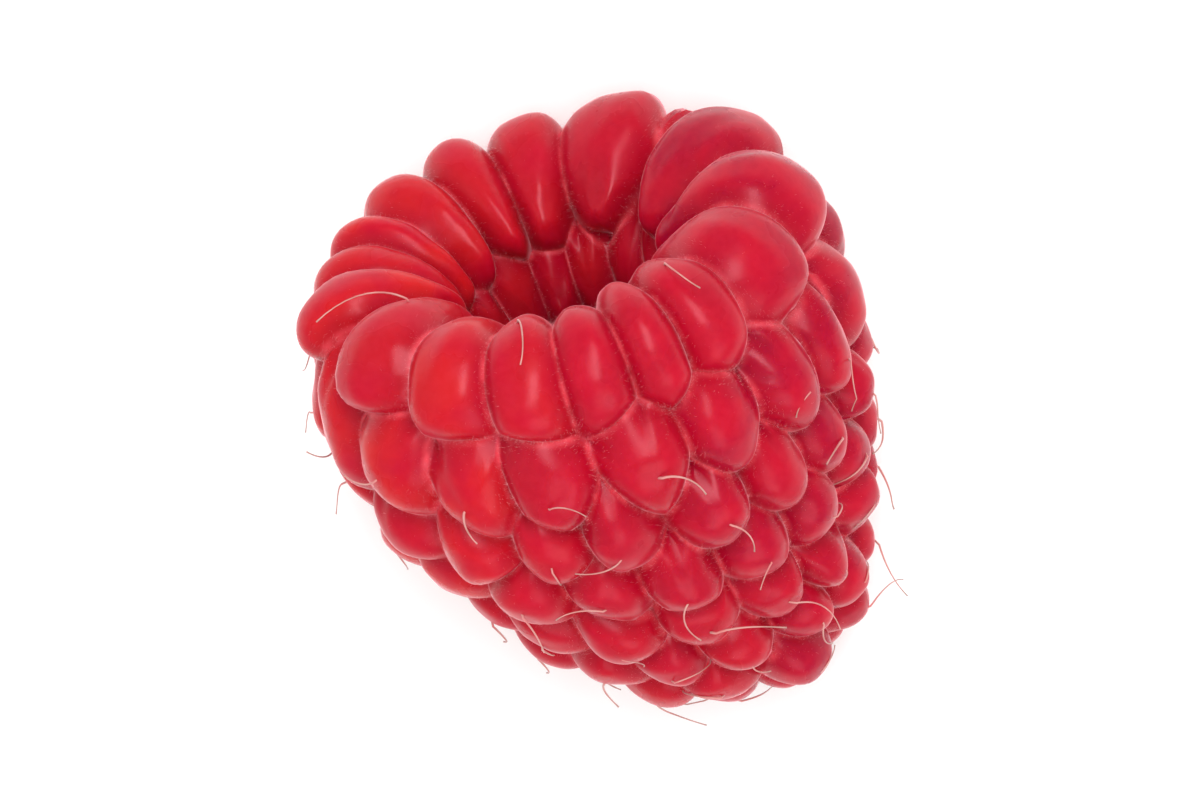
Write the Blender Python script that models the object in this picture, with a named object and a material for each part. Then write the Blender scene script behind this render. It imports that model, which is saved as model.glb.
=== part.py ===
"""A picked raspberry lying on its side: one hollow thimble of drupelets that grew together.

Every drupelet is one cell of a pattern on a sphere. Its seeds stand in rows of latitude, from the berry's tip
at one pole, over the rim, to the floor of the hollow at the other. The sphere is drawn over the thimble's
outline, each cell is raised into a dome, and the berry is bent a little, laid down and pressed on the table.

Run with blender --background --python part.py. Metres, +Z up, the hollow's mouth towards +Y.
"""

import math
from collections import namedtuple

import bmesh
import bpy
import numpy as np

MM = 0.001

# The wall's outline at the bottom of the grooves, as the corners of its control polygon in mm: (radius,
# height above the tip). It runs from the tip up the outside, over the rim and down to the hollow's floor.
OUTLINE = (
    (0.0, 1.4),
    (2.8, 1.4),
    (4.9, 3.4),
    (7.5, 8.6),
    (9.6, 14.4),
    (9.4, 19.7),
    (8.2, 21.3),
    (6.6, 20.9),
    (5.0, 19.0),
    (4.3, 15.6),
    (4.1, 11.5),
    (3.5, 7.6),
    (0.0, 7.6),
)
CORNER_CUTS = 4

# The rows of drupelets in the same order: how many, how much of the sphere each has against the others, how
# far the row reaches along the outline in mm, how far its domes stand out in mm, how far the row is turned,
# in drupelets, and how many rings of faces make a dome.
Row = namedtuple("Row", "number share reach dome turned rings")
ROWS = (
    Row(1, 1.0, 1.4, 1.2, 0.0, 3),
    Row(6, 1.0, 2.6, 1.3, 0.2, 3),
    Row(10, 1.0, 2.8, 1.4, 0.6, 3),
    Row(14, 1.0, 2.9, 1.4, 0.1, 3),
    Row(16, 1.0, 2.9, 1.5, 0.5, 3),
    Row(18, 1.0, 3.0, 1.5, 0.1, 3),
    Row(19, 1.0, 3.0, 1.5, 0.5, 3),
    Row(19, 1.0, 3.0, 1.5, 0.0, 3),
    Row(16, 2.4, 8.0, 1.5, 0.0, 5),
    Row(17, 1.0, 3.4, 0.7, 0.0, 2),
    Row(13, 1.0, 3.3, 0.6, 0.5, 2),
    Row(9, 1.0, 3.2, 0.5, 0.0, 2),
    Row(5, 1.0, 2.3, 0.4, 0.5, 2),
    Row(1, 1.0, 1.0, 0.3, 0.0, 2),
)
SIDE_STEPS = 2  # faces along the side between two drupelets
LONGEST_END = 1.5  # how far the first or last quarter of a row reaches at most, in mm
PLACE_SPREAD = 0.16  # of a drupelet, either way
HEIGHT_SPREAD = 0.12  # of a dome's height, either way
RANDOM_SEED = 1839

# The rim's drupelets are long and bent over the rim. Each has its own place around the axis, in degrees from
# +X, because they differ the most in width. Their domes fall from a ridge, not from a point.
RIM = 8
RIM_TURNS = (3, 31, 73, 102, 118, 142, 159, 171, 190, 223, 245, 266, 282, 297, 310, 332)
RIM_RIDGE = 0.2  # half the ridge's length, as a share of the row's latitudes
RIM_SIDE_STEPS = 8
RIM_WIDTH_POWER = 0.3  # how a dome's height grows with its width

# The rim's drupelets reach further down the outside on the berry's upper side, and less far on its underside.
RIM_SKEW = 1.2  # how far either way, in mm
SKEW_TURN = math.radians(300)  # where they reach the furthest, around the axis from +X

# The dome over a cell: how much of a half circle its arc is, and how much less deep a groove is between two
# drupelets than where three meet, as a share of the dome.
ROUNDNESS = 0.9
SADDLE = 0.34
FULL_SADDLE_SIDE = 0.16  # the length of a regular cell's side on the unit sphere

# How the berry differs from a turned shape, and how it lies.
TIP_LEAN = 3.0 * MM  # the tip's shift towards +X
LEAN_FROM = 19.0 * MM  # the height above the tip where the lean starts
TILT = math.radians(20.5)  # the axis's fall from the mouth to the tip
PRESSED = 0.5 * MM  # how deep the lowest drupelets are flattened on the table

WELD = 0.0001 * MM
SHARP = math.radians(50)
SKIN_COLOUR = (0.60, 0.022, 0.045, 1.0)
SKIN_ROUGHNESS = 0.35


def normalised(vectors):
    return vectors / np.linalg.norm(vectors, axis=-1, keepdims=True)


def unit_vectors(latitude, turn):
    return np.stack(
        [np.sin(latitude) * np.cos(turn), np.sin(latitude) * np.sin(turn), -np.cos(latitude)], axis=-1
    )


def row_latitudes():
    """Edges of the rows as angles from the tip's pole, which give each row its share of the sphere."""
    passed = np.cumsum([0] + [row.number * row.share for row in ROWS])
    return np.arccos(1 - 2 * passed / passed[-1])


def drupelet_seeds():
    """For each drupelet a unit vector, its row, its height and the turn of its top.

    The rows are staggered and a little uneven. A rim drupelet's top is midway between the two sides that it
    shares with the rest of the rim.
    """
    random = np.random.default_rng(RANDOM_SEED)
    edges = row_latitudes()
    seeds = []
    for place, row in enumerate(ROWS):
        low, high = edges[place : place + 2]
        across, along = random.uniform(-PLACE_SPREAD, PLACE_SPREAD, (2, row.number))
        turn = (np.arange(row.number) + row.turned + across) * 2 * math.pi / row.number
        latitude = (low + high) / 2 + along * (high - low)
        if row.number == 1:
            latitude = np.array([round(low / math.pi) * math.pi])
        if place == RIM:
            turn, latitude = np.radians(RIM_TURNS), np.full(row.number, (low + high) / 2)
        seeds.append(unit_vectors(latitude, turn))

    seeds = np.concatenate(seeds)
    rows = np.repeat(np.arange(len(ROWS)), [row.number for row in ROWS])
    heights = np.array([row.dome for row in ROWS])[rows]
    heights *= 1 + random.uniform(-HEIGHT_SPREAD, HEIGHT_SPREAD, len(rows))
    turns = np.arctan2(seeds[:, 1], seeds[:, 0])
    ahead = np.radians(np.roll(RIM_TURNS, -1) - np.array(RIM_TURNS)) % (2 * math.pi)
    behind = np.roll(ahead, 1)
    turns[rows == RIM] += (ahead - behind) / 4
    heights[rows == RIM] *= ((ahead + behind) / (ahead + behind).mean()) ** RIM_WIDTH_POWER
    return seeds, rows, heights, turns


def cell_wedges(seeds):
    """Two wedges for each pair of neighbours: the seed whose cell it is, its neighbour, and the two corners.

    The cells are the duals of the triangles of the seeds' convex hull, whose normals are the cells' corners.
    """
    mesh = bmesh.new()
    for seed in seeds:
        mesh.verts.new(seed)
    bmesh.ops.convex_hull(mesh, input=mesh.verts)
    bmesh.ops.triangulate(mesh, faces=mesh.faces)
    mesh.normal_update()
    mesh.verts.index_update()
    wedges = []
    for edge in mesh.edges:
        for loop in edge.link_loops:
            ahead, behind = loop.face.normal, loop.link_loop_radial_next.face.normal
            wedges.append((loop.vert.index, loop.link_loop_next.vert.index, tuple(behind), tuple(ahead)))
    mesh.free()
    own, other, first, last = zip(*wedges)
    return np.array(own), np.array(other), np.array(first), np.array(last)


def smooth_outline():
    """The outline with its corners cut off again and again: radius, height and distance along it, in mm."""
    points = np.array(OUTLINE)
    for _ in range(CORNER_CUTS):
        near = 0.75 * points[:-1] + 0.25 * points[1:]
        far = 0.25 * points[:-1] + 0.75 * points[1:]
        inner = np.stack([near, far], axis=1).reshape(-1, 2)[1:-1]
        points = np.concatenate([points[:1], inner, points[-1:]])
    steps = np.linalg.norm(np.diff(points, axis=0), axis=1)
    return points[:, 0], points[:, 1], np.append(0, np.cumsum(steps))


def on_thimble(directions):
    """Where unit vectors fall on the outline, as (points, normals), in mm.

    Latitude becomes distance along the outline row by row. A long row is drawn out in its middle half, so its
    drupelets have long sides and blunt ends. The rim's outer side is moved by its skew.
    """
    radius, height, distance = smooth_outline()
    edges, reach = row_latitudes(), np.array([row.reach for row in ROWS])
    quarters, ends = np.diff(edges) / 4, np.minimum(reach / 4, LONGEST_END)
    latitudes = np.stack([edges[:-1], edges[:-1] + quarters, edges[1:] - quarters], axis=1)
    marks = np.cumsum(reach)[:, None] - np.stack([reach, reach - ends, ends], axis=1)
    latitudes, marks = np.append(latitudes, math.pi), np.append(marks, reach.sum())

    latitude = np.arccos(np.clip(-directions[..., 2], -1, 1))
    turn = np.arctan2(directions[..., 1], directions[..., 0])
    skewed = np.interp(latitude, [0, edges[RIM], edges[RIM + 1]], [0, RIM_SKEW, 0])
    along = np.interp(latitude, latitudes, marks / reach.sum() * distance[-1])
    along = along - skewed * np.cos(turn - SKEW_TURN)
    r, z = np.interp(along, distance, radius), np.interp(along, distance, height)
    slope_r = np.interp(along, distance, np.gradient(radius, distance))
    slope_z = np.interp(along, distance, np.gradient(height, distance))
    points = np.stack([r * np.cos(turn), r * np.sin(turn), z], axis=-1)
    normals = np.stack([slope_z * np.cos(turn), slope_z * np.sin(turn), -slope_r], axis=-1)
    return points, normalised(normals)


def wedge_points(seed, turn, ridge, first, last, own_height, other_height, rings, side_steps):
    """Points of wedges as an array (wedge, ring, side step, xyz) in mm.

    A wedge runs from its cell's ridge at ring 0 to its side of the cell. The ridge is at the seed's latitude
    and the top's turn, drawn out along the outline by its half length either way. The dome falls from there
    as a flattened circle's arc does, and the groove rises between its two corners and falls again.
    """
    along = np.linspace(0, 1, side_steps + 1)[None, :]
    side = normalised(first[:, None] * (1 - along[..., None]) + last[:, None] * along[..., None])
    first_end, last_end = np.sign(first[:, 2:] - seed[:, 2:]), np.sign(last[:, 2:] - seed[:, 2:])
    latitude = np.arccos(-seed[:, 2:]) + ridge[:, None] * (first_end * (1 - along) + last_end * along)
    top = unit_vectors(latitude, turn[:, None])
    out = np.sin(np.linspace(0, math.asin(ROUNDNESS), rings + 1)) / ROUNDNESS
    ring = out[None, :, None, None]
    points, normals = on_thimble(normalised(top[:, None] * (1 - ring) + side[:, None] * ring))

    floor = math.sqrt(1 - ROUNDNESS**2)
    fall = (np.sqrt(1 - (ROUNDNESS * out) ** 2) - floor) / (1 - floor)
    side_length = np.linalg.norm(first - last, axis=1)[:, None]
    arch = 4 * along * (1 - along) * np.minimum(1, side_length / FULL_SADDLE_SIDE) ** 2
    groove = (SADDLE * arch * ((own_height + other_height) / 2)[:, None])[:, None]
    height = groove + (own_height[:, None, None] - groove) * fall[None, :, None]
    return points + normals * height[..., None]


def berry_surface():
    """The upright berry as (points, quads), in mm. Neighbouring wedges have equal points where they meet."""
    seeds, rows, heights, turns = drupelet_seeds()
    own, other, first, last = cell_wedges(seeds)
    rings = np.array([row.rings for row in ROWS])[rows[own]]
    steps = np.where((rows[own] == RIM) & (rows[other] == RIM), RIM_SIDE_STEPS, SIDE_STEPS)
    ridges = np.where(rows == RIM, RIM_RIDGE * np.diff(row_latitudes())[RIM], 0)
    points, quads, passed = [], [], 0
    for ring_count, step_count in sorted(set(zip(rings.tolist(), steps.tolist()))):
        like = (rings == ring_count) & (steps == step_count)
        cell, beside = own[like], other[like]
        side, levels = (first[like], last[like]), (heights[cell], heights[beside])
        patch = wedge_points(seeds[cell], turns[cell], ridges[cell], *side, *levels, ring_count, step_count)
        index = passed + np.arange(patch.size // 3).reshape(patch.shape[:3])
        corners = [index[:, :-1, :-1], index[:, 1:, :-1], index[:, 1:, 1:], index[:, :-1, 1:]]
        points.append(patch.reshape(-1, 3))
        quads.append(np.stack(corners, axis=-1).reshape(-1, 4))
        passed += index.size
    return np.concatenate(points), np.concatenate(quads)


def lay_down(points):
    """The upright berry with its tip bent to one side, laid down and pressed on the table, in metres."""
    x, y, z = points.T * MM
    x = x + TIP_LEAN * np.clip(1 - z / LEAN_FROM, 0, None) ** 2
    lying = np.stack(
        [x, z * math.cos(TILT) + y * math.sin(TILT), z * math.sin(TILT) - y * math.cos(TILT)], axis=1
    )
    low, high = lying.min(axis=0), lying.max(axis=0)
    lying -= [(low[0] + high[0]) / 2, (low[1] + high[1]) / 2, low[2] + PRESSED]
    lying[:, 2] = np.clip(lying[:, 2], 0, None)
    return lying


def berry_mesh():
    points, quads = berry_surface()
    mesh = bpy.data.meshes.new("raspberry")
    mesh.from_pydata(lay_down(points), [], quads.tolist())
    welded = bmesh.new()
    welded.from_mesh(mesh)
    bmesh.ops.remove_doubles(welded, verts=welded.verts, dist=WELD)
    bmesh.ops.recalc_face_normals(welded, faces=welded.faces)
    bmesh.ops.triangulate(welded, faces=welded.faces)
    welded.to_mesh(mesh)
    welded.free()
    return mesh


def skin_material():
    material = bpy.data.materials.new("raspberry_skin")
    material.use_nodes = True
    shader = material.node_tree.nodes["Principled BSDF"]
    shader.inputs["Base Color"].default_value = SKIN_COLOUR
    shader.inputs["Roughness"].default_value = SKIN_ROUGHNESS
    shader.inputs["Metallic"].default_value = 0.0
    return material


def main():
    for obj in list(bpy.data.objects):
        bpy.data.objects.remove(obj)
    mesh = berry_mesh()
    mesh.materials.append(skin_material())
    mesh.shade_smooth()
    mesh.set_sharp_from_angle(angle=SHARP)
    berry = bpy.data.objects.new("raspberry", mesh)
    bpy.context.scene.collection.objects.link(berry)


main()
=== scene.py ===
"""A picked raspberry on a pale table: its fine drupelets, styles and down, with their finishes and the light.

The fine berry repeats the thimble of drupelets that the frame holds, with round domes and many more faces.
All shapes are worked out as whole arrays, upright in mm with the tip down, and then leant and laid.
"""

import math
from collections import namedtuple

import bmesh
import bpy
import numpy as np
from mathutils import Matrix, Vector


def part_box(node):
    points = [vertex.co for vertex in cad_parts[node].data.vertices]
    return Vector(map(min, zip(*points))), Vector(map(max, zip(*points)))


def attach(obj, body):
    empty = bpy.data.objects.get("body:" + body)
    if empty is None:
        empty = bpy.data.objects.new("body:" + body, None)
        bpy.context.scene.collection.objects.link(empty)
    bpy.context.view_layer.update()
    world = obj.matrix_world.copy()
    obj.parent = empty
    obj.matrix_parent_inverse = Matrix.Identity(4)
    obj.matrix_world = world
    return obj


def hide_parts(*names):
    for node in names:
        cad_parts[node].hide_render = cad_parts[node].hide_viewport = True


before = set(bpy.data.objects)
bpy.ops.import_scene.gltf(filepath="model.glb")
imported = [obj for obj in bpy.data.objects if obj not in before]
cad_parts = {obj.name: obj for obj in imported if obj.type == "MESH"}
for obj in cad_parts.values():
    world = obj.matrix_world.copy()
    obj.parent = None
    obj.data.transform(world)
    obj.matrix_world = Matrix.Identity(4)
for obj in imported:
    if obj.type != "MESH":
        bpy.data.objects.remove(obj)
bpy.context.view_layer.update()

MM = 0.001

# The wall's outline at the bottom of the grooves, as the corners of its control polygon in mm: (radius,
# height above the tip), from the tip up the outside, over the rim and down to the hollow's floor.
OUTLINE = (
    (0.0, 1.4),
    (2.8, 1.4),
    (4.9, 3.4),
    (7.5, 8.6),
    (9.6, 14.4),
    (9.4, 19.7),
    (8.2, 21.3),
    (6.6, 20.9),
    (5.0, 19.0),
    (4.3, 15.6),
    (4.1, 11.5),
    (3.5, 7.6),
    (0.0, 7.6),
)
CORNER_CUTS = 6

# The rows of drupelets in the same order: how many, how much of the sphere each has against the others, how
# far the row reaches along the outline in mm, how far its domes stand out in mm, how far the row is turned,
# in drupelets, and how many rings of faces make a dome.
Row = namedtuple("Row", "number share reach dome turned rings")
ROWS = (
    Row(1, 1.0, 1.4, 1.2, 0.0, 13),
    Row(6, 1.0, 2.6, 1.3, 0.2, 13),
    Row(10, 1.0, 2.8, 1.4, 0.6, 13),
    Row(14, 1.0, 2.9, 1.4, 0.1, 13),
    Row(16, 1.0, 2.9, 1.5, 0.5, 13),
    Row(18, 1.0, 3.0, 1.5, 0.1, 13),
    Row(19, 1.0, 3.0, 1.5, 0.5, 13),
    Row(19, 1.0, 3.0, 1.5, 0.0, 13),
    Row(16, 2.4, 8.0, 1.5, 0.0, 16),
    Row(17, 1.0, 3.4, 0.7, 0.0, 8),
    Row(13, 1.0, 3.3, 0.6, 0.5, 8),
    Row(9, 1.0, 3.2, 0.5, 0.0, 8),
    Row(5, 1.0, 2.3, 0.4, 0.5, 8),
    Row(1, 1.0, 1.0, 0.3, 0.0, 8),
)
SIDE_STEPS = 6  # faces along the side between two drupelets
LONGEST_END = 1.5  # how far the first or last quarter of a row reaches at most, in mm
PLACE_SPREAD = 0.16  # of a drupelet, either way
HEIGHT_SPREAD = 0.12  # of a dome's height, either way
LAYOUT_SEED = 1839

# The rim's drupelets are long and bent over the rim, each at its own turn in degrees, with a ridge for a top.
RIM = 8
RIM_TURNS = (3, 31, 73, 102, 118, 142, 159, 171, 190, 223, 245, 266, 282, 297, 310, 332)
RIM_RIDGE = 0.2  # half the ridge's length, as a share of the row's latitudes
RIM_SIDE_STEPS = 24
RIM_WIDTH_POWER = 0.3  # how a dome's height grows with its width

# The rim's drupelets reach further down the outside on the berry's upper side, and less far on its underside.
RIM_SKEW = 1.2  # how far either way, in mm
SKEW_TURN = math.radians(300)  # where they reach the furthest, around the axis from +X

# A dome's fall from its top with the distance from it, 1 at the drupelet's mean half width: the shares of the
# square and of the fourth power, and the level and the softness of the foot that it levels off to.
DOME_SQUARE, DOME_FOURTH = 0.58, 0.24
DOME_FOOT, FOOT_SOFTNESS = -0.10, 0.08
RING_SPREAD = 0.9  # how much of a quarter circle spaces the rings
MEETING = 4  # the power with which a dome bends to meet its neighbours at the groove
TOP_SHIFT = 0.12  # how far a dome's top may be off its drupelet's middle, in half widths
SADDLE, RIM_SADDLE = 0.38, 0.50  # a groove's height between its corners, as a share of the domes'
FULL_SADDLE_SIDE = 0.16  # the length on the unit sphere of a side that has this height in full
LOWEST_COVER = 0.1  # the least height of the skin over the outline under a hair, in mm

# Unevenness of the skin: how many waves, their lengths in mm, and the height of each in mm.
SWELLS = ((14, 2.2, 4.0, 0.022), (22, 0.8, 1.6, 0.006))
KNOBS = ((30, 0.7, 1.3, 0.030),)  # the same for what the hollow's wall has besides

# How the berry differs from a turned shape, and how it lies.
TIP_LEAN = 3.0 * MM  # the tip's shift towards +X
LEAN_FROM = 19.0 * MM  # the height above the tip where the lean starts
TILT = math.radians(20.5)  # the axis's fall from the mouth to the tip

WELD = 0.0001 * MM
SHARP = math.radians(50)

# Painted glow and tone, from 0 to 1: at 0 the orange red of a painted glow of light shining through one side,
# at 1 crimson. How much it rises over the berry's width towards +X and +Y, and how much a single drupelet's
# own tone differs either way.
PAINTED_GLOW_SLOPE = np.array([1.3243, -0.0622, 0.0])
TONE_SPREAD = 0.22
BERRY_WIDTH = 22 * MM

# The styles, one dried hair to a drupelet: the chance of one row by row, and their sizes in mm.
STYLE_CHANCE = (1.0, 1.0, 1.0, 1.0, 1.0, 0.95, 0.9, 0.7, 0.2, 0.0, 0.0, 0.0, 0.0, 0.0)
STYLE_LENGTH = (1.0, 2.2)
STYLE_RADIUS = 0.045
STYLE_RADIUS_SHARES = (0.75, 1.15)
STYLE_THINNING = 0.55  # how much of its radius a hair loses from the root to the tip
KNOB_SWELL, KNOB_WAY, KNOB_REACH = 0.5, 0.97, 0.04  # the knob's size in radii, its place and half its length
STYLE_SIDES, STYLE_STEPS = 6, 12
STYLE_HEADING = 1.1  # how far a hair heads off the way to the tip, in radians, as a normal spread
STYLE_BEND = (0.6, 2.0)  # how far it turns from end to end, in radians, either way
STYLE_CLEAR = 0.05  # how far a lying hair is off the skin
STYLE_SUNK = 3 * STYLE_CLEAR  # how deep the root is under that
STYLE_STIFFNESS = 60  # how often a draped hair is smoothed
STYLE_STANDING = 0.65  # the share of hairs that rise off the skin
STYLE_RISE, RISE_POWER = (0.35, 1.0), 1.4  # how high in lengths, and the power of the way it grows with
STYLE_LOWEST = 0.1 * MM  # over the table
STYLE_SEED = 7

# The down, straight hairs too fine to be seen singly: how many, and their sizes in mm. It grows thickest in
# the grooves, with a power of the way there from a small share on the tops, and not deep in the hollow.
DOWN_HAIRS = 48000
DOWN_LENGTH = (0.08, 0.20)
DOWN_RADIUS = 0.0035
DOWN_SUNK = 0.02
DOWN_LEAN = 0.7  # how far a hair leans at most, against its height
DOWN_ON_TOP, DOWN_POWER = 0.004, 6
DOWN_DEEPEST = 0.7  # as a share of the hollow's depth
DOWN_FROM, DOWN_LOWEST = 0.05 * MM, 0.02 * MM  # over the table: the lowest skin that has down, and its tips
DOWN_SEED = 11

# The view: the camera looks down on the berry, turned about the vertical, and leant from it towards the mouth
# and towards the side. Its middle is set off from the berry's middle, in metres.
VIEW_TURN = math.radians(14)
VIEW_FALL = math.radians(12.5)
VIEW_SIDE = math.radians(7)
VIEW_DISTANCE = 0.25
VIEW_HEIGHT = 0.0315  # of the view at its middle
VIEW_RIGHT, VIEW_UP = -0.6 * MM, 0.95 * MM
VIEW_LEVEL = 9 * MM  # of its middle over the table
ASPECT = 1200 / 800
SENSOR = 36.0

# The light: an even room, and soft boxes that face the berry. A box's way from the middle is given against 1
# back to the camera, and its distance, width and height are in metres and its power in watts.
ROOM_COLOUR, ROOM_STRENGTH = (0.99, 0.995, 1.0, 1), 0.70
Softbox = namedtuple("Softbox", "name right up distance width height power")
SOFTBOXES = (
    Softbox("tall_box", 0.0, 0.25, 0.5, 0.15, 0.40, 2.0),
    Softbox("left_box", -0.9, -0.2, 0.6, 0.40, 0.40, 0.2),
    Softbox("low_box", 0.4, -1.0, 0.6, 0.40, 0.40, 1.3),
)


# The layout on the sphere


def normalised(vectors):
    return vectors / np.linalg.norm(vectors, axis=-1, keepdims=True)


def unit_vectors(latitude, turn):
    """Latitude is the angle from the tip's pole, which points down, and turn goes round the axis from +X."""
    return np.stack(
        [np.sin(latitude) * np.cos(turn), np.sin(latitude) * np.sin(turn), -np.cos(latitude)], axis=-1
    )


def row_latitudes():
    """Edges of the rows: equal shares of height on the sphere are equal shares of its area."""
    passed = np.cumsum([0] + [row.number * row.share for row in ROWS])
    return np.arccos(1 - 2 * passed / passed[-1])


def drupelet_seeds():
    """For each drupelet a unit vector, its row, its dome's height in mm and the turn of its top.

    Each row's seeds stand evenly round its middle latitude, moved a little by a seeded draw. The rim's stand
    at their own turns, with their tops midway between their sides, and a wide one is higher by a power of its
    width.
    """
    random = np.random.default_rng(LAYOUT_SEED)
    edges = row_latitudes()
    seeds = []
    for place, row in enumerate(ROWS):
        low, high = edges[place : place + 2]
        across, along = random.uniform(-PLACE_SPREAD, PLACE_SPREAD, (2, row.number))
        turn = (np.arange(row.number) + row.turned + across) * 2 * math.pi / row.number
        latitude = (low + high) / 2 + along * (high - low)
        if row.number == 1:
            latitude = np.array([round(low / math.pi) * math.pi])
        if place == RIM:
            turn, latitude = np.radians(RIM_TURNS), np.full(row.number, (low + high) / 2)
        seeds.append(unit_vectors(latitude, turn))

    rows = np.repeat(np.arange(len(ROWS)), [row.number for row in ROWS])
    heights = np.array([row.dome for row in ROWS])[rows]
    heights *= 1 + random.uniform(-HEIGHT_SPREAD, HEIGHT_SPREAD, len(rows))
    seeds = np.concatenate(seeds)
    turns = np.arctan2(seeds[:, 1], seeds[:, 0])
    ahead = np.radians(np.roll(RIM_TURNS, -1) - np.array(RIM_TURNS)) % (2 * math.pi)
    behind = np.roll(ahead, 1)
    turns[rows == RIM] += (ahead - behind) / 4
    heights[rows == RIM] *= ((ahead + behind) / (ahead + behind).mean()) ** RIM_WIDTH_POWER
    return seeds, rows, heights, turns


def cell_wedges(seeds):
    """Two wedges for each pair of neighbours: the seed whose cell it is, its neighbour, and the two corners.

    The cells are the duals of the triangles of the seeds' convex hull, whose normals are the cells' corners.
    """
    places = bpy.data.meshes.new("seeds")
    places.from_pydata(seeds, [], [])
    mesh = bmesh.new()
    mesh.from_mesh(places)
    bpy.data.meshes.remove(places)
    bmesh.ops.convex_hull(mesh, input=mesh.verts)
    bmesh.ops.triangulate(mesh, faces=mesh.faces)
    mesh.normal_update()
    mesh.verts.index_update()
    wedges = []
    for edge in mesh.edges:
        for loop in edge.link_loops:
            ahead, behind = loop.face.normal, loop.link_loop_radial_next.face.normal
            wedges.append((loop.vert.index, loop.link_loop_next.vert.index, tuple(behind), tuple(ahead)))
    mesh.free()
    own, other, first, last = zip(*wedges)
    return np.array(own), np.array(other), np.array(first), np.array(last)


# The thimble


def smooth_outline():
    """The outline with its corners cut off again and again: radius, height and distance along it, in mm."""
    points = np.array(OUTLINE)
    for _ in range(CORNER_CUTS):
        near = 0.75 * points[:-1] + 0.25 * points[1:]
        far = 0.25 * points[:-1] + 0.75 * points[1:]
        inner = np.stack([near, far], axis=1).reshape(-1, 2)[1:-1]
        points = np.concatenate([points[:1], inner, points[-1:]])
    steps = np.linalg.norm(np.diff(points, axis=0), axis=1)
    return points[:, 0], points[:, 1], np.append(0, np.cumsum(steps))


def thimble_marks():
    """Pairs of latitude and distance along the outline in mm, between which the one gives the other.

    A long row is drawn out in its middle half, so its drupelets have long sides and blunt ends.
    """
    edges, reach = row_latitudes(), np.array([row.reach for row in ROWS])
    quarters, ends = np.diff(edges) / 4, np.minimum(reach / 4, LONGEST_END)
    latitudes = np.stack([edges[:-1], edges[:-1] + quarters, edges[1:] - quarters], axis=1)
    marks = np.cumsum(reach)[:, None] - np.stack([reach, reach - ends, ends], axis=1)
    return np.append(latitudes, math.pi), np.append(marks, reach.sum()) / reach.sum()


def on_thimble(directions):
    """Where unit vectors fall on the outline turned round its axis: points, normals, turns and distances
    along the outline, in mm. The rim's outer side is moved along it with the cosine of the turn."""
    radius, height, distance = smooth_outline()
    latitudes, marks = thimble_marks()
    edges = row_latitudes()
    latitude = np.arccos(np.clip(-directions[..., 2], -1, 1))
    turn = np.arctan2(directions[..., 1], directions[..., 0])
    skewed = np.interp(latitude, [0, edges[RIM], edges[RIM + 1]], [0, RIM_SKEW, 0])
    along = np.interp(latitude, latitudes, marks) * distance[-1] - skewed * np.cos(turn - SKEW_TURN)
    r, z = np.interp(along, distance, radius), np.interp(along, distance, height)
    slope_r = np.interp(along, distance, np.gradient(radius, distance))
    slope_z = np.interp(along, distance, np.gradient(height, distance))
    points = np.stack([r * np.cos(turn), r * np.sin(turn), z], axis=-1)
    normals = np.stack([slope_z * np.cos(turn), slope_z * np.sin(turn), -slope_r], axis=-1)
    return points, normalised(normals), turn, along


def swells(points, waves):
    """Unevenness in mm at points in mm: a sum of sine waves with seeded directions, lengths and phases."""
    random = np.random.default_rng(LAYOUT_SEED)
    total = np.zeros(points.shape[:-1])
    for number, shortest, longest, height in waves:
        directions = normalised(random.normal(size=(number, 3)))
        lengths = random.uniform(shortest, longest, number)
        phases = random.uniform(0, 2 * math.pi, number)
        for direction, length, phase in zip(directions, lengths, phases):
            total += height * np.sin(2 * math.pi * points @ direction / length + phase)
    return total


def depth_share(along):
    """How deep in the hollow distances along the outline are: 0 at the rim's middle, 1 at the floor."""
    reach = [row.reach for row in ROWS]
    middle = (sum(reach[:RIM]) + reach[RIM] / 2) / sum(reach)
    return np.clip((along / smooth_outline()[2][-1] - middle) / (1 - middle), 0, 1)


# The drupelets


def flat_places(cells, tops, rows, turn, along, points):
    """Points of cells on flat axes from the cell's top, in mm: round the axis, and along the outline.

    At the two poles there is no turn, and the axes are the X and Y of the thimble.
    """
    top_points, _, top_turn, top_along = on_thimble(tops)
    shape = (-1,) + (1,) * (turn.ndim - 1)
    around = (turn - top_turn[cells].reshape(shape) + math.pi) % (2 * math.pi) - math.pi
    radius = np.hypot(top_points[:, 0], top_points[:, 1])[cells].reshape(shape)
    pole = ((rows == 0) | (rows == len(ROWS) - 1))[cells].reshape(shape)
    across = np.where(pole, points[..., 0], around * radius)
    down = np.where(pole, points[..., 1], along - top_along[cells].reshape(shape))
    return across, down


def dome(distance):
    """A dome's share of its height: 1 at the top, falling with the square and the fourth power of the
    distance, and levelling off softly at its foot."""
    fall = 1 - DOME_SQUARE * distance**2 - DOME_FOURTH * distance**4
    return DOME_FOOT + FOOT_SOFTNESS * np.logaddexp(0, (fall - DOME_FOOT) / FOOT_SOFTNESS)


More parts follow.
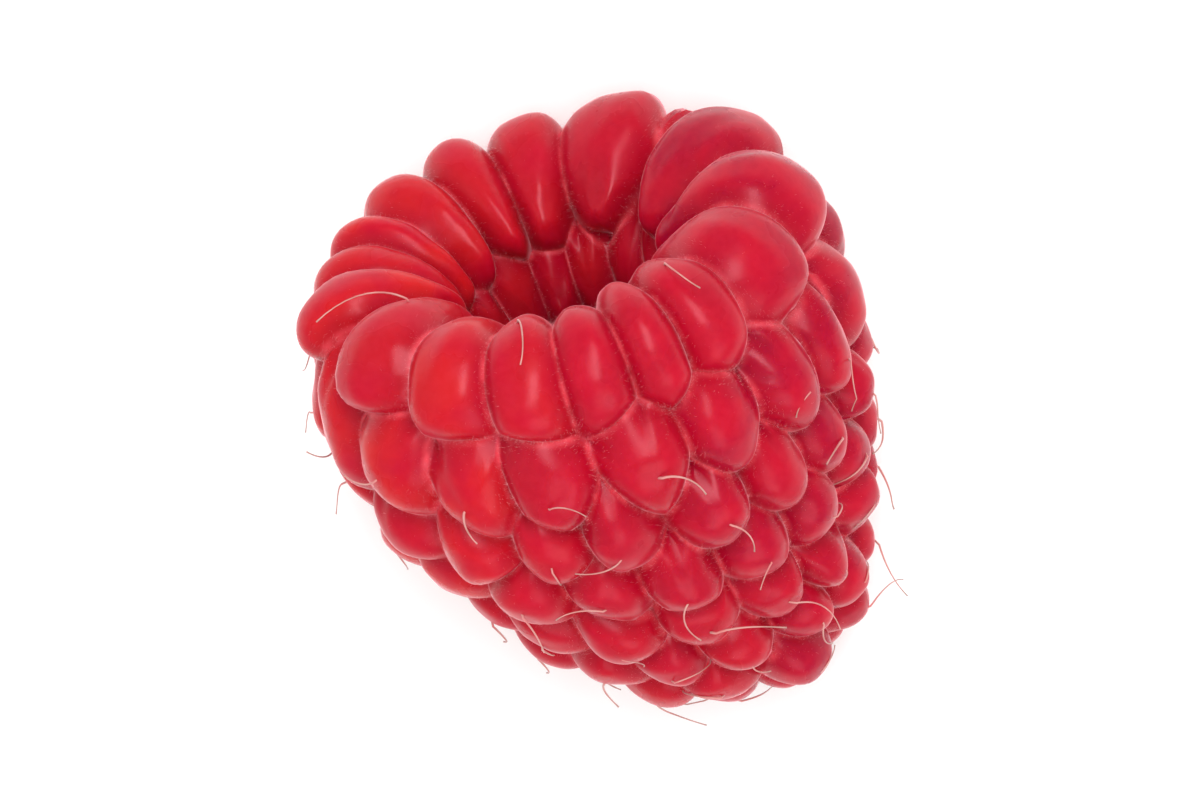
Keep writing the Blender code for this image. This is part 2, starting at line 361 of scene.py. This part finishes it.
class Drupelets:
    """The berry's layout: seeds, rows, heights, wedges, and each drupelet's half widths, ridge and top."""

    measures = ("top_across", "top_down", "half_width", "half_length", "ridge")

    def __init__(self):
        self.seeds, self.rows, self.heights, self.turns = drupelet_seeds()
        self.own, self.other, self.first, self.last = cell_wedges(self.seeds)
        latitude = np.arccos(-self.seeds[:, 2])
        self.spread = np.where(self.rows == RIM, RIM_RIDGE * np.diff(row_latitudes())[RIM], 0)
        self.tops = unit_vectors(latitude, self.turns)
        ends = [on_thimble(unit_vectors(latitude + way * self.spread, self.turns))[3] for way in (-1, 1)]
        self.ridge = (ends[1] - ends[0]) / 2

        side = normalised(np.stack([self.first, self.first + self.last, self.last], axis=1))
        points, _, turn, along = on_thimble(side)
        across, down = flat_places(self.own, self.tops, self.rows, turn, along, points)
        down = np.maximum(np.abs(down) - self.ridge[self.own][:, None], 0)
        self.half_width = self.mean_reach(across)
        self.half_length = self.mean_reach(down)
        random = np.random.default_rng(LAYOUT_SEED + 1)
        shift = random.uniform(-TOP_SHIFT, TOP_SHIFT, (2, len(self.seeds)))
        self.top_across = shift[0] * self.half_width
        self.top_down = np.where(self.rows == RIM, 0, shift[1] * self.half_length)

    def mean_reach(self, reach):
        """Each cell's half width from its sides: the root of twice the mean square, a circle's radius."""
        squares = np.bincount(self.own, (reach**2).sum(axis=1))
        return np.sqrt(2 * squares / (np.bincount(self.own) * reach.shape[1]))

    def distance(self, cells, across, down):
        """Distance from the dome's top, or from its ridge, in half widths of the drupelet."""
        shape = (-1,) + (1,) * (across.ndim - 1)
        value = {name: getattr(self, name)[cells].reshape(shape) for name in self.measures}
        x = (across - value["top_across"]) / value["half_width"]
        y = down - value["top_down"]
        y = np.maximum(np.abs(y) - value["ridge"], 0) / value["half_length"]
        return np.sqrt(x**2 + y**2)


def wedge_surface(berry, wedges, rings, side_steps):
    """Points, heights and marks of wedges as arrays (wedge, ring, side step), in mm.

    A wedge runs from its cell's ridge at ring 0 to its side of the cell. The dome is round about its top.
    Towards the groove it is bent, by a power of the way there, to meet its neighbour at the groove's height,
    which rises between the cell's corners and falls again.
    """
    own, other = berry.own[wedges], berry.other[wedges]
    seed, first, last = berry.seeds[own], berry.first[wedges], berry.last[wedges]
    ridge = berry.spread[own][:, None]
    along = np.linspace(0, 1, side_steps + 1)[None, :]
    side = normalised(first[:, None] * (1 - along[..., None]) + last[:, None] * along[..., None])
    first_end, last_end = np.sign(first[:, 2:] - seed[:, 2:]), np.sign(last[:, 2:] - seed[:, 2:])
    latitude = np.arccos(-seed[:, 2:]) + ridge * (first_end * (1 - along) + last_end * along)
    top = unit_vectors(latitude, berry.turns[own][:, None])
    out = np.sin(np.linspace(0, math.asin(RING_SPREAD), rings + 1)) / RING_SPREAD
    ring = out[None, :, None, None]
    directions = normalised(top[:, None] * (1 - ring) + side[:, None] * ring)
    points, normals, turn, distance = on_thimble(directions)

    side_length = np.linalg.norm(first - last, axis=1)[:, None]
    arch = 4 * along * (1 - along) * np.minimum(1, side_length / FULL_SADDLE_SIDE) ** 2
    mean_height = ((berry.heights[own] + berry.heights[other]) / 2)[:, None]
    on_rim = (berry.rows[own] == RIM) & (berry.rows[other] == RIM)
    groove = (np.where(on_rim, RIM_SADDLE, SADDLE)[:, None] * arch * mean_height)[:, None]
    across, down = flat_places(own, berry.tops, berry.rows, turn, distance, points)
    share = dome(berry.distance(own, across, down))
    height = berry.heights[own][:, None, None]
    bend = (groove - height * share[:, -1:]) * out[None, :, None] ** MEETING
    raised = height * share + bend + swells(points, SWELLS) + depth_share(distance) * swells(points, KNOBS)
    return points + normals * raised[..., None], out[None, :, None] + np.zeros(raised.shape), distance


def berry_surface(berry):
    """The upright berry: points in mm, quads, and each point's drupelet, way to the groove, and distance
    along the outline. Neighbouring wedges have equal points where they meet."""
    rings = np.array([row.rings for row in ROWS])[berry.rows[berry.own]]
    rim_side = (berry.rows[berry.own] == RIM) & (berry.rows[berry.other] == RIM)
    steps = np.where(rim_side, RIM_SIDE_STEPS, SIDE_STEPS)
    parts, passed = [], 0
    for ring_count, step_count in sorted(set(zip(rings.tolist(), steps.tolist()))):
        wedges = np.flatnonzero((rings == ring_count) & (steps == step_count))
        points, way, distance = wedge_surface(berry, wedges, ring_count, step_count)
        index = passed + np.arange(way.size).reshape(way.shape)
        corners = [index[:, :-1, :-1], index[:, 1:, :-1], index[:, 1:, 1:], index[:, :-1, 1:]]
        quads = np.stack(corners, axis=-1).reshape(-1, 4)
        cells = berry.own[wedges][:, None, None] + np.zeros(way.shape, int)
        parts.append((points.reshape(-1, 3), quads, cells.ravel(), way.ravel(), distance.ravel()))
        passed += way.size
    return [np.concatenate(arrays) for arrays in zip(*parts)]


def lean_and_lay(points):
    """Upright points in mm, leant towards +X with the square of their depth below the start of the lean,
    and turned about X until the axis falls by the tilt from the mouth to the tip, in metres."""
    x, y, z = points.T * MM
    x = x + TIP_LEAN * np.clip(1 - z / LEAN_FROM, 0, None) ** 2
    return np.stack(
        [x, z * math.cos(TILT) + y * math.sin(TILT), z * math.sin(TILT) - y * math.cos(TILT)], axis=1
    )


def settle(points):
    """The shift that puts points in the middle of the frame's berry, with their highest point at its top."""
    low, high = (np.array(corner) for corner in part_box("raspberry"))
    middle = (points.min(axis=0) + points.max(axis=0)) / 2
    return np.array([*((low + high) / 2 - middle)[:2], high[2] - points[:, 2].max()])


def glow_and_tone_shares(places):
    """A share for each drupelet, from orange red to crimson: the orange red is a painted glow of light
    shining through one side, and the share rises from one side of the berry to the other. It differs a little
    from one drupelet to the next by a seeded draw, as their own tones do."""
    random = np.random.default_rng(LAYOUT_SEED + 2)
    uneven = random.uniform(-TONE_SPREAD, TONE_SPREAD, len(places))
    return np.clip(0.5 + places @ PAINTED_GLOW_SLOPE / BERRY_WIDTH + uneven, 0, 1)


def make_berry(berry):
    """The fine berry's object, and the shift that settles it and what is laid with it. Its points carry the
    painted glow and tone, the way to the groove and the depth in the hollow."""
    points, quads, cells, way, distance = berry_surface(berry)
    lying = lean_and_lay(points)
    shift = settle(lying)
    lying += shift
    lying[:, 2] = np.clip(lying[:, 2], 0, None)

    tops = lean_and_lay(drupelet_tops(berry)) + shift
    # The first mark is each drupelet's own tone with a painted glow of light shining through one side of the
    # berry.
    marks = {"painted_glow_and_tone": glow_and_tone_shares(tops)[cells], "groove": way, "depth": depth_share(distance)}
    mesh = bpy.data.meshes.new("fine_raspberry")
    mesh.from_pydata(lying, [], quads.tolist())
    for name, values in marks.items():
        mesh.attributes.new(name, "FLOAT", "POINT").data.foreach_set("value", values.astype(np.float32))
    welded = bmesh.new()
    welded.from_mesh(mesh)
    bmesh.ops.remove_doubles(welded, verts=welded.verts, dist=WELD)
    bmesh.ops.recalc_face_normals(welded, faces=welded.faces)
    welded.to_mesh(mesh)
    welded.free()
    mesh.shade_smooth()
    mesh.set_sharp_from_angle(angle=SHARP)
    return add_piece("fine_raspberry", mesh), shift


def drupelet_tops(berry):
    """The tops of the domes, upright, in mm."""
    points, normals, _, _ = on_thimble(berry.tops)
    return points + normals * berry.heights[:, None]


# The hairs


def tubes(paths, radii, sides):
    """Rings of points about paths (hair, step, xyz), as points and faces, with a point at the root's middle
    and at the tip. Each ring is a circle square to the path, of the radius at its step."""
    ahead = normalised(np.gradient(paths, axis=1))
    across = np.cross(ahead[:, :1], paths[:, -1:] - paths[:, :1] + np.array([0.0, 0.0, MM]))
    across = normalised(across - (across * ahead).sum(axis=-1, keepdims=True) * ahead)
    beside = np.cross(ahead, across)
    turn = (np.arange(sides) / sides * 2 * math.pi)[:, None]
    circle = np.cos(turn) * across[:, :, None] + np.sin(turn) * beside[:, :, None]
    rings = paths[:, :, None] + radii[..., None, None] * circle
    hairs, steps = paths.shape[:2]
    block = np.concatenate([paths[:, :1], rings.reshape(hairs, -1, 3), paths[:, -1:]], axis=1)
    start = np.arange(hairs)[:, None, None] * block.shape[1]
    low = 1 + np.arange(steps - 1)[:, None] * sides + np.arange(sides)[None]
    low_next = 1 + np.arange(steps - 1)[:, None] * sides + (np.arange(sides)[None] + 1) % sides
    quads = np.stack([low, low_next, low_next + sides, low + sides], axis=-1).reshape(1, -1, 4)
    ends = block.shape[1] - 1
    root = np.stack([np.zeros(sides, int), low_next[0], low[0]], axis=-1)
    tip = np.stack([np.full(sides, ends), low[-1] + sides, low_next[-1] + sides], axis=-1)
    caps = np.concatenate([root, tip])[None]
    return block.reshape(-1, 3), (quads + start).reshape(-1, 4), (caps + start).reshape(-1, 3)


def square_to(directions, random):
    """Two seeded directions square to each given one and to each other."""
    around = np.cross(directions, normalised(random.normal(size=directions.shape)))
    around = normalised(around)
    return around, np.cross(directions, around)


def cover(berry, directions):
    """The domes' height over the outline at unit vectors, in mm: each is in the cell of the nearest seed."""
    cells = (directions @ berry.seeds.T).argmax(axis=-1)
    points, _, turn, along = on_thimble(directions)
    across, down = flat_places(cells, berry.tops, berry.rows, turn, along, points)
    return np.maximum(berry.heights[cells] * dome(berry.distance(cells, across, down)), LOWEST_COVER)


def make_styles(berry, shift):
    """Dried hairs from the domes' tops, thinner towards the end, with a small knob on it.

    A hair's path over the thimble is an arc from its dome's top, mostly towards the tip. It is draped over
    the domes: its height is raised to theirs and smoothed again and again, like a stiff thread's. A standing
    hair rises beyond that with a power of its way. The radius falls evenly, and swells in a bell at the knob.
    """
    random = np.random.default_rng(STYLE_SEED)
    grown = np.flatnonzero(random.uniform(size=len(berry.seeds)) < np.array(STYLE_CHANCE)[berry.rows])
    number = len(grown)
    length = random.uniform(*STYLE_LENGTH, number)[:, None]
    heading = random.normal(0, STYLE_HEADING, number)[:, None]
    bend = random.uniform(*STYLE_BEND, number)[:, None] * random.choice([-1, 1], number)[:, None]
    way = np.linspace(0, 1, STYLE_STEPS + 1)[None, :]
    course = heading + bend * (way - 0.5)
    step = length / STYLE_STEPS
    around = np.cumsum(np.sin(course) * step, axis=1) - np.sin(course[:, :1]) * step
    tipwards = np.cumsum(np.cos(course) * step, axis=1) - np.cos(course[:, :1]) * step
    directions = moved_on_thimble(berry.tops[grown], around, tipwards)
    low = cover(berry, directions.reshape(-1, 3)).reshape(number, -1) + STYLE_CLEAR
    height = low.copy()
    for _ in range(STYLE_STIFFNESS):
        padded = np.concatenate([height[:, :1], height, 2 * height[:, -1:] - height[:, -2:-1]], axis=1)
        height = np.maximum(low, (padded[:, :-2] + padded[:, 2:]) / 2)
    rise = random.uniform(*STYLE_RISE, number)[:, None] * length
    standing = random.uniform(size=(number, 1)) < STYLE_STANDING
    height += rise * way**RISE_POWER * standing
    height[:, 0] -= STYLE_SUNK
    points, normals, _, _ = on_thimble(directions)
    paths = lean_and_lay((points + normals * height[..., None]).reshape(-1, 3)) + shift
    paths[:, 2] = np.maximum(paths[:, 2], STYLE_LOWEST)
    paths = paths.reshape(number, -1, 3)

    thin = 1 - STYLE_THINNING * way + KNOB_SWELL * np.exp(-(((way - KNOB_WAY) / KNOB_REACH) ** 2))
    radii = STYLE_RADIUS * MM * thin * random.uniform(*STYLE_RADIUS_SHARES, (number, 1))
    points, quads, caps = tubes(paths, radii, STYLE_SIDES)
    mesh = bpy.data.meshes.new("styles")
    mesh.from_pydata(points, [], quads.tolist() + caps.tolist())
    share = np.concatenate([[0], np.repeat(way.ravel(), STYLE_SIDES), [1]])
    share = np.tile(share, number).astype(np.float32)
    mesh.attributes.new("way", "FLOAT", "POINT").data.foreach_set("value", share)
    face_outwards(mesh)
    mesh.shade_smooth()
    return add_piece("styles", mesh)


def moved_on_thimble(directions, around, tipwards):
    """Unit vectors moved by lengths in mm over the outline's surface, round the axis and towards the tip.

    A small step of latitude gives the length along the outline to a radian, and the radius gives the length
    round the axis to a radian. Both are kept off the poles.
    """
    step, off_pole, least_radius = 0.02, 0.001, 1.0
    points, _, turn, _ = on_thimble(directions)
    latitude = np.arccos(np.clip(-directions[:, 2], -1, 1))
    nearer = on_thimble(unit_vectors(np.maximum(latitude - step, off_pole), turn))[3]
    further = on_thimble(unit_vectors(np.minimum(latitude + step, math.pi - off_pole), turn))[3]
    slope = (2 * step / (further - nearer))[:, None]
    radius = np.maximum(np.hypot(points[:, 0], points[:, 1]), least_radius)[:, None]
    moved = latitude[:, None] - tipwards * slope
    return unit_vectors(moved, turn[:, None] + around / radius)


def face_outwards(mesh):
    """Turns the faces of closed shells outwards."""
    shell = bmesh.new()
    shell.from_mesh(mesh)
    bmesh.ops.recalc_face_normals(shell, faces=shell.faces)
    shell.to_mesh(mesh)
    shell.free()


def read_values(rows, name, width, kind):
    """What all rows of a mesh hold under a name, as an array."""
    values = np.empty(len(rows) * width, kind)
    rows.foreach_get(name, values)
    return values.reshape(-1, width) if width > 1 else values


def make_down(skin):
    """Short straight hairs on the skin: three-sided spikes at seeded places. A triangle's chance is its area
    times the share for its way to the groove."""
    random = np.random.default_rng(DOWN_SEED)
    skin.calc_loop_triangles()
    corners = read_values(skin.loop_triangles, "vertices", 3, np.int32)
    triangles = read_values(skin.vertices, "co", 3, np.float32)[corners].astype(float)
    square = np.cross(triangles[:, 1] - triangles[:, 0], triangles[:, 2] - triangles[:, 0])
    area = np.linalg.norm(square, axis=1)
    area[triangles[:, :, 2].max(axis=1) < DOWN_FROM] = 0
    groove, depth = (
        read_values(skin.attributes[name].data, "value", 1, np.float32)[corners].mean(axis=1)
        for name in ("groove", "depth")
    )
    area *= (DOWN_ON_TOP + (1 - DOWN_ON_TOP) * groove**DOWN_POWER) * (depth < DOWN_DEEPEST)
    chosen = random.choice(len(triangles), DOWN_HAIRS, p=area / area.sum())
    share = random.uniform(size=(2, DOWN_HAIRS, 1))
    root = np.sqrt(share[0])
    weights = np.stack([1 - root, root * (1 - share[1]), root * share[1]], axis=1)
    roots = (triangles[chosen] * weights).sum(axis=1)
    normals = normalised(square[chosen])
    around, beside = square_to(normals, random)
    aim = normalised(normals + DOWN_LEAN * around * random.uniform(0, 1, (DOWN_HAIRS, 1)))
    tips = roots + aim * random.uniform(*DOWN_LENGTH, (DOWN_HAIRS, 1)) * MM
    tips[:, 2] = np.maximum(tips[:, 2], DOWN_LOWEST)
    turn = np.arange(3) / 3 * 2 * math.pi
    circle = np.cos(turn)[:, None] * around[:, None] + np.sin(turn)[:, None] * beside[:, None]
    feet = roots[:, None] - normals[:, None] * DOWN_SUNK * MM + circle * DOWN_RADIUS * MM
    points = np.concatenate([feet, tips[:, None]], axis=1).reshape(-1, 3)
    spike = np.array([[0, 1, 3], [1, 2, 3], [2, 0, 3], [0, 2, 1]])
    faces = (spike[None] + 4 * np.arange(DOWN_HAIRS)[:, None, None]).reshape(-1, 3)
    mesh = bpy.data.meshes.new("down")
    mesh.from_pydata(points, [], faces.tolist())
    return add_piece("down", mesh)


# Finishes

PINK_GLOSS = (1.0, 0.55, 0.62, 1)
PINK_SHEEN = (1.0, 0.42, 0.48, 1)
# Orange red: a painted glow of light shining through one side of the berry.
GLOW_ORANGE_RED = (0.53, 0.011, 0.013, 1)
CRIMSON = (0.31, 0.001, 0.022, 1)
CLOUD_RED = (0.44, 0.002, 0.019, 1)
GRAIN_RED = (0.66, 0.03, 0.05, 1)
# Painted shade on the domes towards the groove.
SHOULDER_SHADE_RED = (0.33, 0.001, 0.014, 1)
# Pale bloom along the groove, brightened by a painted sheen.
GROOVE_BLOOM_SHEEN_PINK = (0.80, 0.09, 0.12, 1)
# The hollow's deeper colour, darkened further by painted shade.
HOLLOW_RED_AND_SHADE = (0.24, 0.001, 0.010, 1)
STRAW_ROOT, STRAW_END = (0.62, 0.16, 0.16, 1), (0.34, 0.20, 0.16, 1)
STRAW_PATCH = (0.56, 0.27, 0.24, 1)
DOWN_PALE, DOWN_PINK = (0.84, 0.38, 0.38, 1), (0.78, 0.22, 0.26, 1)
TABLE_GREY, TABLE_WHITE = (0.94, 0.94, 0.93, 1), (0.96, 0.96, 0.95, 1)


def node(tree, kind, values=(), **settings):
    """A new node with its settings. Its inputs, by name or place, get a value or the socket to feed them."""
    made = tree.nodes.new(kind)
    for name, value in settings.items():
        setattr(made, name, value)
    for place, value in dict(values).items():
        if isinstance(value, bpy.types.NodeSocket):
            tree.links.new(value, made.inputs[place])
        else:
            made.inputs[place].default_value = value
    return made


def mixed(tree, share, first, second):
    """The colour between two colours at a share."""
    return node(tree, "ShaderNodeMix", {0: share, 6: first, 7: second}, data_type="RGBA").outputs[2]


def times(tree, value, factor):
    return node(tree, "ShaderNodeMath", {0: value, 1: factor}, operation="MULTIPLY").outputs[0]


def noise(tree, scale, detail=2.0):
    """Noise on the piece's own coordinates, as many waves to the metre as the scale says."""
    place = node(tree, "ShaderNodeTexCoord").outputs["Object"]
    values = {"Vector": place, "Scale": scale, "Detail": detail}
    return node(tree, "ShaderNodeTexNoise", values).outputs["Fac"]


def between(tree, value, low, high, to_low=0.0, to_high=1.0):
    """A value's place between low and high, as a place between two others, smoothed at both ends."""
    values = {"Value": value, 1: low, 2: high, 3: to_low, 4: to_high}
    return node(tree, "ShaderNodeMapRange", values, interpolation_type="SMOOTHSTEP").outputs["Result"]


def attribute(tree, name):
    """A value that the piece's points carry."""
    return node(tree, "ShaderNodeAttribute", attribute_name=name).outputs["Fac"]


def mottle_group():
    """A node group: cloudy patches on the piece, as a mask from 0 to 1. Patches sets how many to the metre,
    and Edge how sharply they end."""
    group = bpy.data.node_groups.new("mottle", "ShaderNodeTree")
    for name, value in (("Patches", 500.0), ("Edge", 0.2)):
        group.interface.new_socket(name, in_out="INPUT", socket_type="NodeSocketFloat").default_value = value
    group.interface.new_socket("Mask", in_out="OUTPUT", socket_type="NodeSocketFloat")
    given = node(group, "NodeGroupInput").outputs
    low = node(group, "ShaderNodeMath", {0: 0.5, 1: given["Edge"]}, operation="SUBTRACT").outputs[0]
    high = node(group, "ShaderNodeMath", {0: 0.5, 1: given["Edge"]}, operation="ADD").outputs[0]
    mask = between(group, noise(group, given["Patches"], 3.0), low, high)
    node(group, "NodeGroupOutput", {"Mask": mask})
    return group


def mottled(tree, group, patches, edge):
    """The mottle group in a material, with its own values."""
    made = node(tree, "ShaderNodeGroup", node_tree=group)
    made.inputs["Patches"].default_value = patches
    made.inputs["Edge"].default_value = edge
    return made.outputs["Mask"]


def new_finish(name, **constants):
    """A material with a Principled shader, and the shader's own sockets set to constants."""
    material = bpy.data.materials.new(name)
    material.use_nodes = True
    shader = material.node_tree.nodes["Principled BSDF"]
    for socket, value in constants.items():
        shader.inputs[socket.replace("_", " ")].default_value = value
    return material, material.node_tree, shader


def skin_finish(mottle):
    """Juicy, translucent, satin skin, with a pink sheen where it turns away.

    Its colour goes from orange red to crimson across the berry, the orange red a painted glow of light
    shining through one side, with each drupelet's own tone, cloudy patches and pale grains. Painted shade
    deepens it towards the groove; it is paler in broken lines along the groove itself, pale bloom with a
    painted sheen; and it is darker in the hollow, its deeper colour with painted shade. Fine pores make it
    uneven, and so do lumps in the hollow.
    """
    material, tree, shader = new_finish(
        "drupelet_skin",
        IOR=1.32,
        Specular_Tint=PINK_GLOSS,
        Subsurface_Weight=0.6,
        Subsurface_Radius=(1.0, 0.16, 0.12),
        Subsurface_Scale=1.4 * MM,
        Sheen_Weight=0.8,
        Sheen_Roughness=0.18,
        Sheen_Tint=PINK_SHEEN,
    )
    painted_glow_and_tone, groove, depth = (attribute(tree, name) for name in ("painted_glow_and_tone", "groove", "depth"))
    clouds = mottled(tree, mottle, 420.0, 0.18)
    grains = mottled(tree, mottle, 3200.0, 0.10)
    broken = mottled(tree, mottle, 900.0, 0.16)
    # From orange red, a painted glow of light shining through one side, to crimson; each drupelet's own tone
    # differs.
    colour = mixed(tree, painted_glow_and_tone, GLOW_ORANGE_RED, CRIMSON)
    colour = mixed(tree, clouds, colour, CLOUD_RED)
    colour = mixed(tree, times(tree, grains, 0.08), colour, GRAIN_RED)
    # Painted shade: darker towards the groove.
    colour = mixed(tree, between(tree, groove, 0.45, 0.88, 0.0, 0.40), colour, SHOULDER_SHADE_RED)
    # Paler broken lines along the groove: pale bloom and a painted sheen of the grazing down.
    pale = between(tree, groove, 0.88, 1.0, 0.0, 0.68)
    pale = times(tree, pale, between(tree, broken, 0.0, 1.0, 0.35, 1.0))
    colour = mixed(tree, pale, colour, GROOVE_BLOOM_SHEEN_PINK)
    # Darker in the hollow: its deeper colour and painted shade.
    colour = mixed(tree, between(tree, depth, 0.16, 0.45, 0.0, 0.85), colour, HOLLOW_RED_AND_SHADE)
    tree.links.new(colour, shader.inputs["Base Color"])
    tree.links.new(between(tree, clouds, 0.0, 1.0, 0.25, 0.34), shader.inputs["Roughness"])

    lumpy = between(tree, depth, 0.2, 0.5, 0.0, 14.0)
    uneven = {0: noise(tree, 1200.0), 1: lumpy, 2: noise(tree, 5500.0)}
    uneven = node(tree, "ShaderNodeMath", uneven, operation="MULTIPLY_ADD").outputs[0]
    bump = node(tree, "ShaderNodeBump", {"Strength": 0.25, "Distance": 0.02 * MM, "Height": uneven})
    tree.links.new(bump.outputs["Normal"], shader.inputs["Normal"])
    return material


def style_finish(mottle):
    """Dry hair, pink straw at the root and browner to its end, with patches."""
    material, tree, shader = new_finish("style_straw", Roughness=0.5, Sheen_Weight=0.2, IOR=1.45)
    colour = mixed(tree, attribute(tree, "way"), STRAW_ROOT, STRAW_END)
    colour = mixed(tree, mottled(tree, mottle, 1500.0, 0.15), colour, STRAW_PATCH)
    tree.links.new(colour, shader.inputs["Base Color"])
    return material


def down_finish(mottle):
    """Fine pale hair, pinker in patches."""
    material, tree, shader = new_finish("down_hair", Roughness=0.6, IOR=1.45)
    colour = mixed(tree, mottled(tree, mottle, 600.0, 0.2), DOWN_PALE, DOWN_PINK)
    tree.links.new(colour, shader.inputs["Base Color"])
    return material


def table_finish():
    """A matt white surface with faint clouds."""
    material, tree, shader = new_finish("pale_table", Roughness=0.7)
    tree.links.new(mixed(tree, noise(tree, 8.0), TABLE_GREY, TABLE_WHITE), shader.inputs["Base Color"])
    return material


# The stage


def add_piece(name, mesh):
    piece = bpy.data.objects.new(name, mesh)
    bpy.context.scene.collection.objects.link(piece)
    return piece


def view_axes():
    """The view's right and up along the table, and the direction back to the camera."""
    up = Vector((math.sin(VIEW_TURN), math.cos(VIEW_TURN), 0))
    right = Vector((math.cos(VIEW_TURN), -math.sin(VIEW_TURN), 0))
    back = Vector((0, 0, 1)) + up * math.tan(VIEW_FALL) + right * math.tan(VIEW_SIDE)
    return right, up, back.normalized()


def facing(place, back, up):
    """A place and a turn that looks against back, with up as nearly up as it can be."""
    across = up.cross(back).normalized()
    return Matrix.Translation(place) @ Matrix((across, back.cross(across), back)).transposed().to_4x4()


def make_camera(middle):
    """A camera whose lens takes in the view's height at the middle."""
    camera = bpy.data.objects.new("camera", bpy.data.cameras.new("camera"))
    bpy.context.scene.collection.objects.link(camera)
    _, up, back = view_axes()
    camera.matrix_world = facing(middle + back * VIEW_DISTANCE, back, up)
    camera.data.sensor_width = SENSOR
    camera.data.lens = SENSOR * VIEW_DISTANCE / (VIEW_HEIGHT * ASPECT)
    camera.data.clip_start = 0.01
    bpy.context.scene.camera = camera


def make_softbox(box, middle):
    """An oblong area lamp in a direction from the middle, facing it."""
    right, up, back = view_axes()
    lamp = bpy.data.lights.new(box.name, "AREA")
    lamp.shape, lamp.size, lamp.size_y, lamp.energy = "RECTANGLE", box.width, box.height, box.power
    made = bpy.data.objects.new(box.name, lamp)
    bpy.context.scene.collection.objects.link(made)
    towards = (back + box.up * up + box.right * right).normalized()
    made.matrix_world = facing(middle + towards * box.distance, towards, up)


def make_light(middle):
    """A bright even room, a tall soft box over the camera, and weaker ones to the left and below it."""
    world = bpy.data.worlds.new("room")
    bpy.context.scene.world = world
    world.use_nodes = True
    room = world.node_tree.nodes["Background"].inputs
    room["Color"].default_value = ROOM_COLOUR
    room["Strength"].default_value = ROOM_STRENGTH
    for box in SOFTBOXES:
        make_softbox(box, middle)


def make_table():
    """A wide level sheet, a hair's breadth under the berry."""
    half, level = 1.5, -0.01 * MM
    corners = [(-half, -half, level), (half, -half, level), (half, half, level), (-half, half, level)]
    mesh = bpy.data.meshes.new("table")
    mesh.from_pydata(corners, [], [(0, 1, 2, 3)])
    mesh.materials.append(table_finish())
    add_piece("table", mesh)


def main():
    berry = Drupelets()
    mottle = mottle_group()
    skin, shift = make_berry(berry)
    skin.data.materials.append(skin_finish(mottle))
    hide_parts("raspberry")
    styles = make_styles(berry, shift)
    styles.data.materials.append(style_finish(mottle))
    down = make_down(skin.data)
    down.data.materials.append(down_finish(mottle))
    for piece in (skin, styles, down):
        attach(piece, "root")

    low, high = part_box("raspberry")
    right, up, _ = view_axes()
    middle = Vector(((low.x + high.x) / 2, (low.y + high.y) / 2, VIEW_LEVEL))
    middle += VIEW_RIGHT * right + VIEW_UP * up
    make_table()
    make_light(middle)
    make_camera(middle)
    bpy.context.scene.view_settings.view_transform = "Standard"


main()
